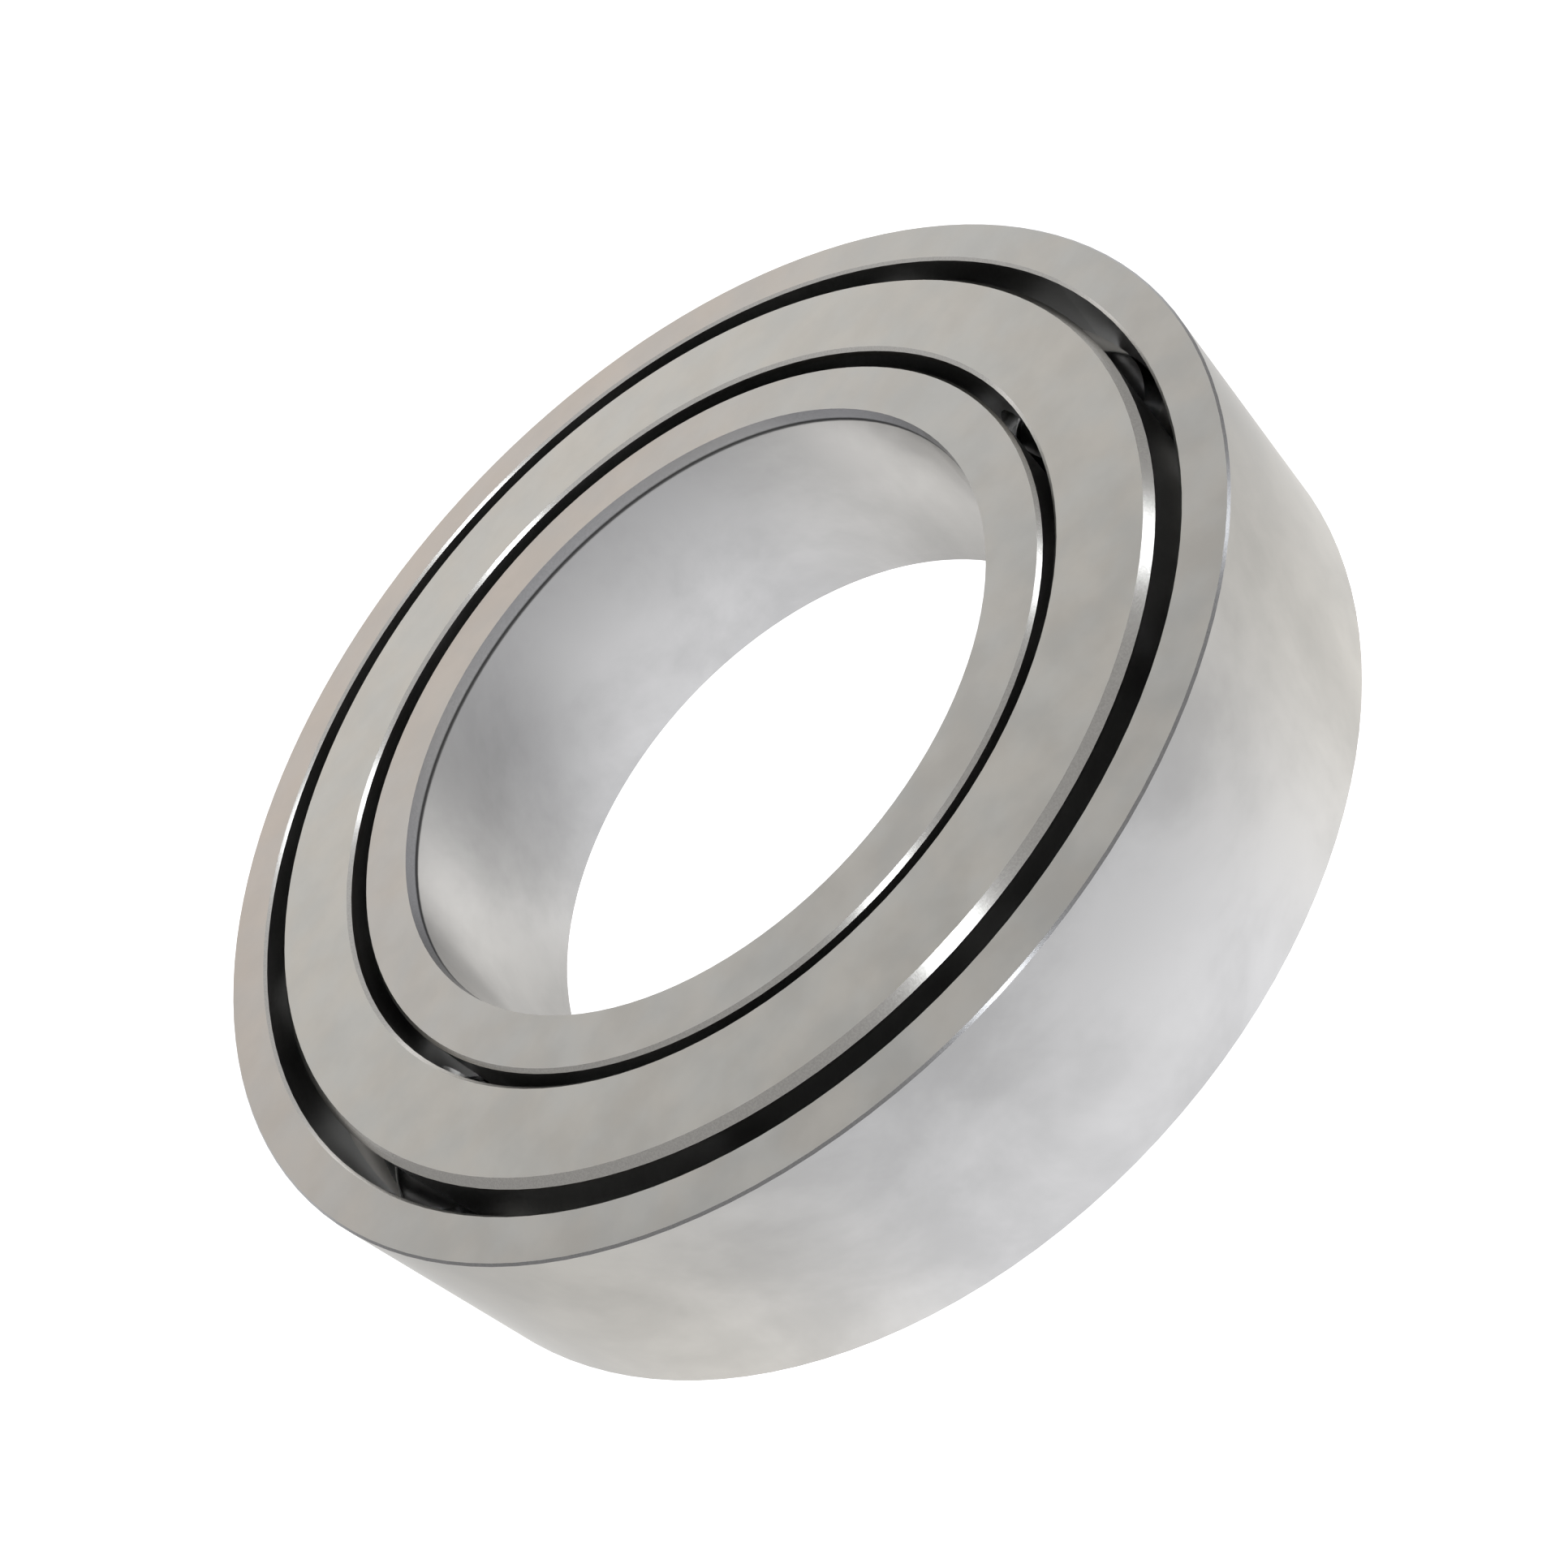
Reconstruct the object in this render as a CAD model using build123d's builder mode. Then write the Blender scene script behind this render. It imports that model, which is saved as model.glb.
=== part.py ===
from build123d import *
from math import cos, radians, sin
import os

# Deep groove ball bearing, 40 x 68 x 15 mm, with a solid steel cage.
# Millimetres. The bearing axis is Z. Z = 0 is the rear face of the rings and the plain side of
# the cage is at the top.

# ---- envelope of the two rings ----
bore_radius = 20.0
outer_radius = 34.0
width = 15.0
mid_z = width / 2
bore_lead = 0.1               # the bore opens by this much at each end
bore_lead_length = 0.85
outer_edge = 0.13             # bevel on the outside diameter
outer_land_edge = 0.16        # bevel where the outer ring's land meets a side face
inner_land_edge = 0.21        # bevel where the inner ring's land meets a side face

# ---- balls and raceways ----
ball_diameter = 9.922         # 25/64 inch ball
ball_count = 9
first_ball_angle = 33.2
pitch_radius = 27.15
race_clearance = 0.02         # between a resting ball and the bottom of each raceway
conformity = 0.52             # raceway section radius over ball diameter
outer_land_radius = 31.26
inner_land_radius = 23.38

# ---- cage: a comb with plain front face, closed at the rear by a riveted cover ring ----
cage_inner_radius = 24.28
cage_outer_radius = 29.86
cage_front_z = 15.28          # stands 0.28 proud of the ring faces
cage_joint_z = 2.35           # where the bars of the comb meet the cover
cage_rear_z = 0.3             # the cover stays inside the ring faces
cage_bevel = 0.44             # bevel on the cage's outside diameter
cage_inner_edge = 0.2         # bevel on the cage's inside diameter
pocket_clearance = 0.16
rivet_radius = 1.1
rivet_hole_radius = 1.11
rivet_head_radius = 1.9
rivet_length = 7.0
rivet_hole_depth = 7.3

# ---- derived ----
ball_radius = ball_diameter / 2
race_radius = conformity * ball_diameter
outer_race_centre = pitch_radius + ball_radius + race_clearance - race_radius
inner_race_centre = pitch_radius - ball_radius - race_clearance + race_radius
pocket_radius = ball_radius + pocket_clearance
ball_step = 360 / ball_count
bar_angle = first_ball_angle + ball_step / 2
cage_mid_radius = (cage_inner_radius + cage_outer_radius) / 2
head_height = rivet_head_radius - rivet_radius

os.makedirs("parts", exist_ok=True)


def save(solid, name):
    solid.label = name
    export_step(solid, f"parts/{name}.step")


def radial_plane(angle):
    """A plane through the axis at mid width, facing outwards at the given angle."""
    a = radians(angle)
    return Plane(origin=(0, 0, mid_z), x_dir=(-sin(a), cos(a), 0), z_dir=(cos(a), sin(a), 0))


# ---- outer ring: plain cylinder outside, raceway groove in the land inside ----
with BuildPart() as outer_ring:
    with BuildSketch(Plane.XZ):
        with BuildLine():
            Polyline(
                (outer_land_radius, outer_land_edge),
                (outer_land_radius + outer_land_edge, 0),
                (outer_radius - outer_edge, 0),
                (outer_radius, outer_edge),
                (outer_radius, width - outer_edge),
                (outer_radius - outer_edge, width),
                (outer_land_radius + outer_land_edge, width),
                (outer_land_radius, width - outer_land_edge),
                close=True,
            )
        make_face()
        with Locations((outer_race_centre, mid_z)):
            Circle(race_radius, mode=Mode.SUBTRACT)
    revolve(axis=Axis.Z)
save(outer_ring.part, "outer_ring")

# ---- inner ring: raceway groove outside, a slight lead-in at each end of the bore ----
with BuildPart() as inner_ring:
    with BuildSketch(Plane.XZ):
        with BuildLine():
            Polyline(
                (bore_radius, bore_lead_length),
                (bore_radius + bore_lead, 0),
                (inner_land_radius - inner_land_edge, 0),
                (inner_land_radius, inner_land_edge),
                (inner_land_radius, width - inner_land_edge),
                (inner_land_radius - inner_land_edge, width),
                (bore_radius + bore_lead, width),
                (bore_radius, width - bore_lead_length),
                close=True,
            )
        make_face()
        with Locations((inner_race_centre, mid_z)):
            Circle(race_radius, mode=Mode.SUBTRACT)
    revolve(axis=Axis.Z)
save(inner_ring.part, "inner_ring")

# ---- balls ----
for index in range(ball_count):
    ball_angle = radians(first_ball_angle + index * ball_step)
    with BuildPart() as ball:
        with Locations((pitch_radius * cos(ball_angle), pitch_radius * sin(ball_angle), mid_z)):
            Sphere(ball_radius)
    save(ball.part, f"ball_{index + 1:02d}")

# ---- cage comb: plain ring in front, one bar between each pair of balls ----
pocket_planes = [radial_plane(first_ball_angle + i * ball_step) for i in range(ball_count)]
with BuildPart() as cage_comb:
    with BuildSketch(Plane.XZ):
        with BuildLine():
            Polyline(
                (cage_inner_radius, cage_joint_z),
                (cage_outer_radius, cage_joint_z),
                (cage_outer_radius, cage_front_z - cage_bevel),
                (cage_outer_radius - cage_bevel, cage_front_z),
                (cage_inner_radius + cage_inner_edge, cage_front_z),
                (cage_inner_radius, cage_front_z - cage_inner_edge),
                close=True,
            )
        make_face()
    revolve(axis=Axis.Z)
    with BuildSketch(*pocket_planes):
        Circle(pocket_radius)
        with Locations((0, -mid_z / 2)):
            Rectangle(2 * pocket_radius, mid_z)
    extrude(amount=outer_radius, mode=Mode.SUBTRACT)
    with BuildSketch(Plane.XY.offset(cage_joint_z)):
        with PolarLocations(cage_mid_radius, ball_count, bar_angle):
            Circle(rivet_hole_radius)
    extrude(amount=rivet_hole_depth, mode=Mode.SUBTRACT)
save(cage_comb.part, "cage_comb")

# ---- cage cover: flat ring that closes the pockets, countersunk for the rivets ----
with BuildPart() as cage_cover:
    with BuildSketch(Plane.XZ):
        with BuildLine():
            Polyline(
                (cage_inner_radius + cage_inner_edge, cage_rear_z),
                (cage_outer_radius - cage_bevel, cage_rear_z),
                (cage_outer_radius, cage_rear_z + cage_bevel),
                (cage_outer_radius, cage_joint_z),
                (cage_inner_radius, cage_joint_z),
                (cage_inner_radius, cage_rear_z + cage_inner_edge),
                close=True,
            )
        make_face()
    revolve(axis=Axis.Z)
    with BuildSketch(Plane.XY.offset(cage_rear_z)):
        with PolarLocations(cage_mid_radius, ball_count, bar_angle):
            Circle(rivet_hole_radius)
    extrude(amount=cage_joint_z, mode=Mode.SUBTRACT)
    with BuildSketch(Plane.XY.offset(cage_rear_z)):
        with PolarLocations(cage_mid_radius, ball_count, bar_angle):
            Circle(rivet_head_radius + rivet_hole_radius - rivet_radius)
    extrude(amount=head_height, taper=45, mode=Mode.SUBTRACT)
save(cage_cover.part, "cage_cover")

# ---- rivets: one per bar, flush in the cover and pressed into the comb ----
with BuildPart() as cage_rivets:
    with BuildSketch(Plane.XY.offset(cage_rear_z)):
        with PolarLocations(cage_mid_radius, ball_count, bar_angle):
            Circle(rivet_head_radius)
    extrude(amount=head_height, taper=45)
    with BuildSketch(Plane.XY.offset(cage_rear_z)):
        with PolarLocations(cage_mid_radius, ball_count, bar_angle):
            Circle(rivet_radius)
    extrude(amount=cage_joint_z - cage_rear_z + rivet_length)
save(cage_rivets.part, "cage_rivets")
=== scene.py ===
from math import radians

import bpy
from mathutils import Matrix, Vector


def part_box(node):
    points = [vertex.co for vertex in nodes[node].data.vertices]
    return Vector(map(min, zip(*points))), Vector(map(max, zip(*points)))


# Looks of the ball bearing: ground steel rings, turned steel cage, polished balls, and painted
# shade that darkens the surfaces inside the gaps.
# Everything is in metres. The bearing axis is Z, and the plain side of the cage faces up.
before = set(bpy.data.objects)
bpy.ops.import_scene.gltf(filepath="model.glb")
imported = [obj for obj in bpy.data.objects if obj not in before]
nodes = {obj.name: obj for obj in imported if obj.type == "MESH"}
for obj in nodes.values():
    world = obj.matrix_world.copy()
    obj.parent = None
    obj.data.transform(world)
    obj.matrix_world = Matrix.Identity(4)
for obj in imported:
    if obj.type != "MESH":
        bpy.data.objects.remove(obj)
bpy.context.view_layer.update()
scene = bpy.context.scene

# ---- places read from the boxes of the parts ----
ring_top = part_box("outer_ring")[1]
inner_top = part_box("inner_ring")[1]
cage_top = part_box("cage_comb")[1]
outer_radius = ring_top.x
inner_land_radius = inner_top.x
cage_outer_radius = cage_top.x
front_z = ring_top.z
balls = sorted(name for name in nodes if name.startswith("ball_"))

# ---- sizes of the CAD part that its boxes don't give ----
BORE_RADIUS = 0.02
LEAD_IN_LENGTH = 0.00085
CAGE_BEVEL = 0.00044
lead_in_z = front_z - LEAD_IN_LENGTH

# ---- colours of the steel ----
# A face has two colours: the first on most of it, the second on the warm side.
RING_FACE = ((0.56, 0.553, 0.533, 1), (0.56, 0.514, 0.477, 1))
CAGE_FACE = ((0.575, 0.565, 0.539, 1), (0.575, 0.56, 0.53, 1))
RIVET_FACE = ((0.52, 0.51, 0.49, 1), (0.52, 0.51, 0.49, 1))
COOL_TINT = (0.987, 1.0, 1.013, 1)
WARM_TINT = (1.013, 1.0, 0.987, 1)
WALL_COOL = (0.512, 0.51, 0.516, 1)
WALL_WARM = (0.535, 0.517, 0.484, 1)
# Bevel colours of one steel: the light one on bevels that face the axis is painted light, and the
# darker ones on the lead-in and the outer rim are painted shade.
SHARP_EDGE = (0.4, 0.4, 0.41, 1)
LIGHT_EDGE = (0.62, 0.61, 0.59, 1)
INNER_EDGE = (0.88, 0.87, 0.85, 1)
LEAD_IN_EDGE = (0.42, 0.42, 0.43, 1)
# A fine dark line of painted shade where the lead-in meets the bore.
CREASE_SHADE = (0.06, 0.06, 0.06, 1)
# A darker colour painted on the surfaces inside the gaps, as painted shade.
INSIDE_SHADE = (0.45, 0.45, 0.445, 1)
BALL_STEEL = (0.62, 0.62, 0.63, 1)
SPECULAR_TINT = (0.68, 0.68, 0.68, 1)

# ---- textures: cells of noise per metre, and the tones and roughness that they spread over ----
DRIFT_CELLS, CLOUD_CELLS, MOTTLE_CELLS = 45, 80, 260
TINT_CELLS, FILM_CELLS, GRAIN_CELLS = 310, 600, 9000
MOTTLE_TONE = (0.93, 1.065)
CLOUD_TONE = (0.85, 1.09)
GRAIN_TONE = (0.93, 1.05)
FILM_TONE = (0.85, 1.1)
FACE_ROUGHNESS = (0.36, 0.42)
WALL_ROUGHNESS = (0.28, 0.36)
BALL_ROUGHNESS = (0.1, 0.22)
GRAIN_DEPTH, GRAIN_STRENGTH = 0.00001, 0.05

# ---- painted light and shade on the walls: tones at the rear and at the front ----
OUTSIDE_TONE = (1.0, 0.72)
BORE_SIDE_TONE = (0.72, 1.3)
BORE_MIDDLE_TONE = (0.96, 0.62)
BORE_SHADE_TONE = 0.71

# ---- where the colours change ----
WARM_SIDE, WARM_FROM, WARM_FULL, WARM_DRIFT = (-0.42, 0.91, 0), -0.01, 0.035, 0.04
WALL_WARM_FROM, WALL_WARM_FULL = 0.008, 0.026
BORE_MIDDLE_FROM, BORE_MIDDLE_FULL = 0.006, 0.016
# A patch of painted shade on the bore wall, round a point.
BORE_SHADE_PATCH, BORE_SHADE_FULL, BORE_SHADE_END = (-0.0108, 0.0166, 0.0075), 0.002, 0.01
BORE_WALL_END = BORE_RADIUS + 0.0003
OUTER_RIM_START = outer_radius - 0.0003
BORDER = 0.0001                         # width of a soft border between two colours
SOFT = BORDER / 2
# Half width of the painted shade line at the foot of the lead-in.
CREASE_SHADE_WIDTH = 0.0002
# How far the painted shade below the cage bevel fades in.
INSIDE_SHADE_FADE = 0.0003
# Flatness of a surface: 1 for a side face, 0 for a cylinder round the axis, between for a bevel.
FACE_FROM, FACE_FULL = 0.975, 0.998
WALL_FROM, WALL_FULL = 0.4, 0.2
DARK_FROM, DARK_FULL = 0.66, 0.6

# Inputs and output of a colour mix node.
MIX_FACTOR, MIX_FIRST, MIX_SECOND, MIX_RESULT = 0, 6, 7, 2


# ---- shader building blocks ----
class Nodes:
    """A small helper that adds nodes to one node tree and links them."""

    def __init__(self, tree):
        self.tree = tree

    def add(self, kind, **settings):
        node = self.tree.nodes.new(kind)
        for key, value in settings.items():
            setattr(node, key, value)
        return node

    def link(self, source, target):
        """Feed an input with another node's output, or set it to a constant."""
        if isinstance(source, bpy.types.NodeSocket):
            self.tree.links.new(source, target)
        else:
            target.default_value = source

    def math(self, operation, first, second=0.0, clamp=False):
        node = self.add("ShaderNodeMath", operation=operation, use_clamp=clamp)
        self.link(first, node.inputs[0])
        self.link(second, node.inputs[1])
        return node.outputs[0]

    def ramp(self, value, low, high, to_low=0.0, to_high=1.0):
        """Smooth change from to_low to to_high as value goes from low to high."""
        node = self.add("ShaderNodeMapRange", interpolation_type="SMOOTHSTEP")
        self.link(value, node.inputs["Value"])
        node.inputs["From Min"].default_value = low
        node.inputs["From Max"].default_value = high
        node.inputs["To Min"].default_value = to_low
        node.inputs["To Max"].default_value = to_high
        return node.outputs[0]

    def vary(self, noise, least, most):
        """Smooth change from least to most over the usual range of a noise."""
        return self.ramp(noise, 0.3, 0.7, least, most)

    def blend(self, factor, first, second):
        """The first number where the factor is 0, the second where it is 1."""
        first_part = self.math("MULTIPLY", first, self.math("SUBTRACT", 1.0, factor))
        return self.math("ADD", first_part, self.math("MULTIPLY", second, factor))


class Shader(Nodes):
    """The nodes of one new material."""

    def __init__(self, name):
        self.material = bpy.data.materials.new(name)
        self.material.use_nodes = True
        super().__init__(self.material.node_tree)
        self.surface = self.tree.nodes["Principled BSDF"]
        coordinates = self.add("ShaderNodeTexCoord")
        self.position = coordinates.outputs["Object"]
        self.normal = coordinates.outputs["Normal"]

    def mix(self, factor, first, second):
        """The first colour where the factor is 0, the second where it is 1."""
        node = self.add("ShaderNodeMix", data_type="RGBA")
        self.link(factor, node.inputs[MIX_FACTOR])
        self.link(first, node.inputs[MIX_FIRST])
        self.link(second, node.inputs[MIX_SECOND])
        return node.outputs[MIX_RESULT]

    def multiply(self, first, second):
        """The product of two colours."""
        node = self.add("ShaderNodeMix", data_type="RGBA", blend_type="MULTIPLY")
        node.inputs[MIX_FACTOR].default_value = 1.0
        self.link(first, node.inputs[MIX_FIRST])
        self.link(second, node.inputs[MIX_SECOND])
        return node.outputs[MIX_RESULT]

    def scale_colour(self, colour, value):
        grey = self.add("ShaderNodeCombineColor")
        for channel in range(3):
            self.link(value, grey.inputs[channel])
        return self.multiply(colour, grey.outputs[0])

    def noise(self, cells, detail=3.0, roughness=0.5, distortion=0.0):
        node = self.add("ShaderNodeTexNoise")
        self.link(self.position, node.inputs["Vector"])
        node.inputs["Scale"].default_value = cells
        node.inputs["Detail"].default_value = detail
        node.inputs["Roughness"].default_value = roughness
        node.inputs["Distortion"].default_value = distortion
        return node.outputs[0]

    def vector_math(self, operation, first, second):
        node = self.add("ShaderNodeVectorMath", operation=operation)
        self.link(first, node.inputs[0])
        self.link(second, node.inputs[1])
        return node

    def upward(self, vector):
        """The Z part of a vector."""
        parts = self.add("ShaderNodeSeparateXYZ")
        self.link(vector, parts.inputs[0])
        return parts.outputs[2]

    def flatness(self):
        return self.math("ABSOLUTE", self.upward(self.normal))

    def height(self):
        """Height above the floor."""
        return self.upward(self.position)

    def radius(self):
        """Distance from the bearing axis."""
        level = self.vector_math("MULTIPLY", self.position, (1, 1, 0))
        length = self.add("ShaderNodeVectorMath", operation="LENGTH")
        self.link(level.outputs[0], length.inputs[0])
        return length.outputs["Value"]

    def along(self, direction, offset=0.0):
        """Distance along the given direction, plus an offset."""
        node = self.vector_math("DOT_PRODUCT", self.position, direction)
        return self.math("ADD", node.outputs["Value"], offset)

    def facing_axis(self):
        """1 where the surface faces the bearing axis, 0 where it faces away from it."""
        whole = self.vector_math("DOT_PRODUCT", self.normal, self.position).outputs["Value"]
        vertical = self.math("MULTIPLY", self.height(), self.upward(self.normal))
        return self.math("LESS_THAN", self.math("SUBTRACT", whole, vertical), 0.0)

    def bump(self, height, distance, strength):
        node = self.add("ShaderNodeBump")
        self.link(height, node.inputs["Height"])
        node.inputs["Distance"].default_value = distance
        node.inputs["Strength"].default_value = strength
        self.link(node.outputs[0], self.surface.inputs["Normal"])


# ---- parts of the steel ----
def in_bore(s):
    """1 on the wall of the bore, 0 further out."""
    return s.ramp(s.radius(), BORE_WALL_END + BORDER, BORE_WALL_END)


def lead_in(s):
    """1 on the lead-in at the front end of the bore, 0 elsewhere."""
    above = s.ramp(s.height(), lead_in_z - SOFT, lead_in_z + SOFT)
    return s.math("MULTIPLY", in_bore(s), above)


def lead_in_crease_shade(s):
    """1 on the fine dark line of painted shade in the crease where the front lead-in meets the
    bore.
    """
    off = s.math("ABSOLUTE", s.math("SUBTRACT", s.height(), lead_in_z))
    return s.math("MULTIPLY", in_bore(s), s.ramp(off, CREASE_SHADE_WIDTH, SOFT))


def wall_tone(s):
    """How light a wall is, as painted light and shade: darker towards the front outside, and uneven
    round the bore with a patch of painted shade.
    """
    def from_rear_to_front(tone):
        return s.ramp(s.height(), 0.0, front_z, *tone)

    # The bore has one painted tone of light and shade on its sides and another on its middle, which
    # faces -Y.
    in_middle = s.ramp(s.along((0, 1, 0)), BORE_MIDDLE_FROM, BORE_MIDDLE_FULL)
    side, middle = from_rear_to_front(BORE_SIDE_TONE), from_rear_to_front(BORE_MIDDLE_TONE)
    from_patch = s.vector_math("DISTANCE", s.position, BORE_SHADE_PATCH).outputs["Value"]
    shaded = s.ramp(from_patch, BORE_SHADE_FULL, BORE_SHADE_END, BORE_SHADE_TONE, 1.0)
    bore = s.math("MULTIPLY", s.blend(in_middle, side, middle), shaded)
    return s.blend(in_bore(s), from_rear_to_front(OUTSIDE_TONE), bore)


def face_colour(s, colours, mottle):
    """A side face: two colours that drift into each other, under fine mottling."""
    drift = s.math("MULTIPLY", s.math("SUBTRACT", s.noise(DRIFT_CELLS, 2.0), 0.5), WARM_DRIFT)
    face = s.mix(s.ramp(s.along(WARM_SIDE, drift), WARM_FROM, WARM_FULL), *colours)
    face = s.scale_colour(face, s.vary(mottle, *MOTTLE_TONE))
    warmth = s.vary(s.noise(TINT_CELLS, 2.0), 0.0, 1.0)
    return s.multiply(face, s.mix(warmth, COOL_TINT, WARM_TINT))


def wall_colour(s, cloud):
    """A cylinder wall: cool in the middle, warm at both ends of X, and cloudy."""
    from_middle = s.math("ABSOLUTE", s.along((1, 0, 0)))
    wall = s.mix(s.ramp(from_middle, WALL_WARM_FROM, WALL_WARM_FULL), WALL_COOL, WALL_WARM)
    wall = s.scale_colour(wall, s.ramp(cloud, 0.34, 0.68, *CLOUD_TONE))
    return s.scale_colour(wall, wall_tone(s))


def edge_colour(s, colour, grain):
    """A bevel: painted light makes it lighter where it faces the axis, and painted shade makes it
    darker on the lead-in and the outer rim.
    """
    edge = s.mix(s.facing_axis(), colour, INNER_EDGE)
    edge = s.mix(lead_in(s), edge, LEAD_IN_EDGE)
    at_rim = s.ramp(s.radius(), OUTER_RIM_START, OUTER_RIM_START + BORDER)
    edge = s.mix(at_rim, edge, SHARP_EDGE)
    return s.scale_colour(edge, s.vary(grain, *GRAIN_TONE))


def steel(name, face_colours, bevel_colour, bevel_roughness, shade_mask):
    """Satin faces, cloudy walls, smoother bevels, and a darker colour of painted shade where the
    mask is 1.
    """
    s = Shader(name)
    flatness = s.flatness()
    is_face = s.ramp(flatness, FACE_FROM, FACE_FULL)
    is_wall = s.math("SUBTRACT", s.ramp(flatness, WALL_FROM, WALL_FULL), lead_in(s), clamp=True)
    mottle = s.noise(MOTTLE_CELLS, 4.0)
    cloud = s.noise(CLOUD_CELLS, 5.0, 0.6, 0.25)
    grain = s.noise(GRAIN_CELLS, 2.0)

    colour = s.mix(is_wall, edge_colour(s, bevel_colour, grain), wall_colour(s, cloud))
    colour = s.mix(is_face, colour, face_colour(s, face_colours, mottle))
    # Painted shade: the surfaces inside the gaps get a darker colour.
    colour = s.mix(shade_mask(s, flatness), colour, INSIDE_SHADE)
    # Painted shade in the crease where the lead-in meets the bore.
    colour = s.mix(lead_in_crease_shade(s), colour, CREASE_SHADE)
    s.link(colour, s.surface.inputs["Base Color"])

    face_rough = s.math("MULTIPLY", is_face, s.vary(mottle, *FACE_ROUGHNESS))
    wall_rough = s.math("MULTIPLY", is_wall, s.vary(cloud, *WALL_ROUGHNESS))
    rough = s.math("MAXIMUM", s.math("ADD", face_rough, wall_rough), bevel_roughness)
    s.link(rough, s.surface.inputs["Roughness"])
    s.surface.inputs["Metallic"].default_value = 1.0
    s.surface.inputs["Specular Tint"].default_value = SPECULAR_TINT
    # The walls are too smooth to show any grain.
    off_walls = s.math("SUBTRACT", 1.0, is_wall)
    relief = s.math("MULTIPLY", s.math("SUBTRACT", grain, 0.5), off_walls)
    s.bump(relief, GRAIN_DEPTH, GRAIN_STRENGTH)
    return s.material


def walls_between(low, high):
    """Painted shade on raceway and land: everything between the two radii but faces and bevels."""
    def mask(s, flatness):
        above = s.ramp(s.radius(), low - SOFT, low + SOFT)
        below = s.ramp(s.radius(), high + SOFT, high - SOFT)
        steep = s.ramp(flatness, DARK_FROM, DARK_FULL)
        return s.math("MULTIPLY", s.math("MULTIPLY", above, below), steep)
    return mask


def deeper_than(height):
    """Painted shade on everything that lies deeper than the height."""
    def mask(s, _flatness):
        return s.ramp(s.height(), height, height - INSIDE_SHADE_FADE)
    return mask


def polished(name):
    """Polished ball steel under oil."""
    s = Shader(name)
    film = s.noise(FILM_CELLS)
    colour = s.scale_colour(BALL_STEEL, s.vary(film, *FILM_TONE))
    s.link(colour, s.surface.inputs["Base Color"])
    s.link(s.vary(film, *BALL_ROUGHNESS), s.surface.inputs["Roughness"])
    s.surface.inputs["Metallic"].default_value = 1.0
    return s.material


def dress(names, material):
    for name in names:
        slots = nodes[name].data.materials
        slots.clear()
        slots.append(material)


# The painted shade on the inside surfaces begins halfway through each ring, and below the bevel of
# the cage.
in_outer_ring = walls_between(0, (outer_radius + cage_outer_radius) / 2)
in_inner_ring = walls_between((inner_land_radius + BORE_RADIUS) / 2, outer_radius)
under_bevel = deeper_than(cage_top.z - CAGE_BEVEL)
everywhere = walls_between(0, outer_radius)
dress(["outer_ring"], steel("outer ring steel", RING_FACE, LIGHT_EDGE, 0.22, in_outer_ring))
dress(["inner_ring"], steel("inner ring steel", RING_FACE, LIGHT_EDGE, 0.22, in_inner_ring))
dress(["cage_comb"], steel("cage steel", CAGE_FACE, LIGHT_EDGE, 0.2, under_bevel))
dress(["cage_cover"], steel("cage cover steel", CAGE_FACE, LIGHT_EDGE, 0.2, everywhere))
dress(["cage_rivets"], steel("rivet steel", RIVET_FACE, SHARP_EDGE, 0.3, everywhere))
dress(balls, polished("ball steel"))

# ---- floor ----
FLOOR_SIZE = 8
GLOW_NEAR, GLOW_FAR = (0.033, 0.95), (0.077, 0.74)      # distance from the axis, and strength
bpy.ops.mesh.primitive_plane_add(size=FLOOR_SIZE, location=(0, 0, 0))
floor = bpy.context.object
floor.name = "floor"
pale = Shader("pale floor")
pale.link(
    pale.scale_colour((0.9, 0.895, 0.885, 1), pale.vary(pale.noise(4, 2.0), 0.99, 1.0)),
    pale.surface.inputs["Base Color"],
)
pale.surface.inputs["Roughness"].default_value = 0.9
pale.surface.inputs["Specular IOR Level"].default_value = 0.0
# The floor is a light table, a little brighter under and round the bearing.
pale.surface.inputs["Emission Color"].default_value = (0.985, 0.99, 1.0, 1)
glow = pale.ramp(pale.radius(), GLOW_NEAR[0], GLOW_FAR[0], GLOW_NEAR[1], GLOW_FAR[1])
pale.link(glow, pale.surface.inputs["Emission Strength"])
floor.data.materials.append(pale.material)

# ---- studio: bright low down on the far side, dim overhead and on the other sides ----
STUDIO_DIM = 0.41
world = bpy.data.worlds.new("studio")
world.use_nodes = True
sky = Nodes(world.node_tree)
direction = sky.add("ShaderNodeTexCoord")
split = sky.add("ShaderNodeSeparateXYZ")
sky.link(direction.outputs["Generated"], split.inputs[0])
sideways, away, up = split.outputs
low_down = sky.ramp(up, 0.3, 0.82, 1.62, 0.3)
far_side = sky.ramp(away, 0.3, 0.75, 0.1, 1.0)
middle = sky.ramp(sky.math("ABSOLUTE", sideways), 0.27, 0.56, 1.0, 0.22)
bright = sky.math("MULTIPLY", sky.math("MULTIPLY", low_down, far_side), middle)
studio = sky.tree.nodes["Background"]
studio.inputs["Color"].default_value = (1.0, 0.985, 0.965, 1)
sky.link(sky.math("MAXIMUM", bright, STUDIO_DIM), studio.inputs["Strength"])
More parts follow.
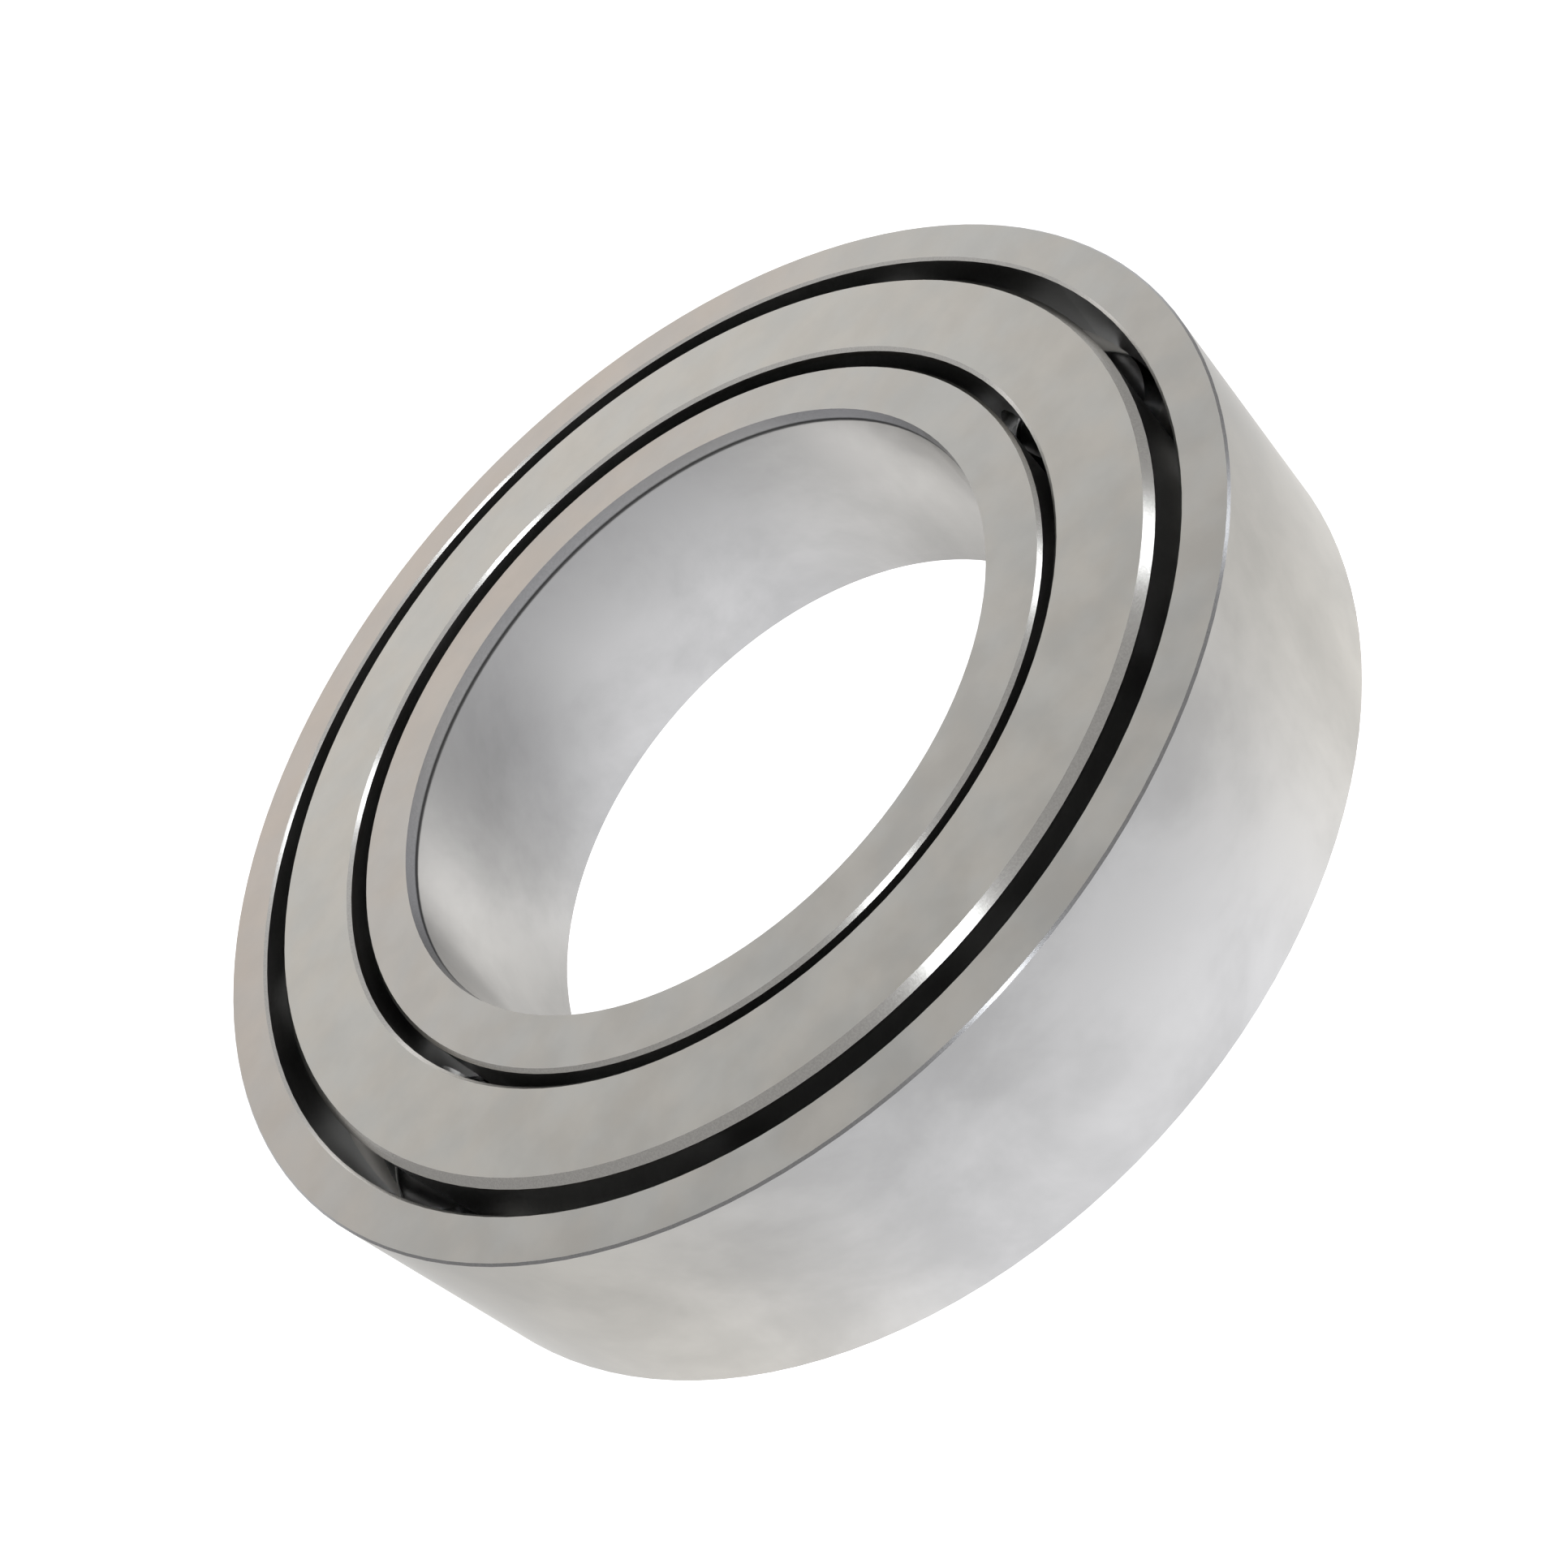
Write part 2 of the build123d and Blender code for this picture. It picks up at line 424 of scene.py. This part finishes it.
# The camera itself sees a plain pale backdrop.
backdrop = sky.add("ShaderNodeBackground")
backdrop.inputs["Color"].default_value = (1.0, 0.995, 0.985, 1)
path = sky.add("ShaderNodeLightPath")
choice = sky.add("ShaderNodeMixShader")
sky.link(path.outputs["Is Camera Ray"], choice.inputs[0])
sky.link(studio.outputs[0], choice.inputs[1])
sky.link(backdrop.outputs[0], choice.inputs[2])
sky.link(choice.outputs[0], sky.tree.nodes["World Output"].inputs["Surface"])
scene.world = world

# ---- lamps ----
LAMP_DISTANCE = 0.6
LAMP_COLOUR = (0.94, 0.97, 1.0)


def softbox(name, azimuth, elevation, width, height, watts):
    """A rectangular lamp in the given direction from the origin, pointing back at it."""
    light = bpy.data.lights.new(name, "AREA")
    light.shape = "RECTANGLE"
    light.size = width
    light.size_y = height
    light.energy = watts
    light.color = LAMP_COLOUR
    lamp = bpy.data.objects.new(name, light)
    turn = Matrix.Rotation(radians(azimuth), 3, "Z") @ Matrix.Rotation(radians(-elevation), 3, "Y")
    lamp.location = turn @ Vector((LAMP_DISTANCE, 0, 0))
    lamp.rotation_euler = lamp.location.to_track_quat("Z", "Y").to_euler()
    scene.collection.objects.link(lamp)


softbox("key over the camera", -89, 53, 0.075, 0.26, 0.4)
softbox("side light", 0, 34, 0.12, 0.28, 0.3)

# ---- camera: it looks down at the front, and its roll makes the bearing axis lean to the left ----
CAMERA_PLACE = Vector((0.010675, -3.25146, 2.28583))    # in outer radii, from the front face
CAMERA_TILT = 51.62
CAMERA_ROLL = -47.51
LENS_MM, SENSOR_MM = 55.59, 36
NEAREST_SEEN = 0.005
camera_data = bpy.data.cameras.new("main camera")
camera_data.sensor_width = SENSOR_MM
camera_data.lens = LENS_MM
camera_data.clip_start = NEAREST_SEEN
camera = bpy.data.objects.new("main camera", camera_data)
camera.location = CAMERA_PLACE * outer_radius + Vector((0, 0, front_z))
tilt = Matrix.Rotation(radians(CAMERA_TILT), 4, "X")
roll = Matrix.Rotation(radians(CAMERA_ROLL), 4, "Z")
camera.rotation_euler = (tilt @ roll).to_euler()
scene.collection.objects.link(camera)
scene.camera = camera
scene.view_settings.view_transform = "Standard"
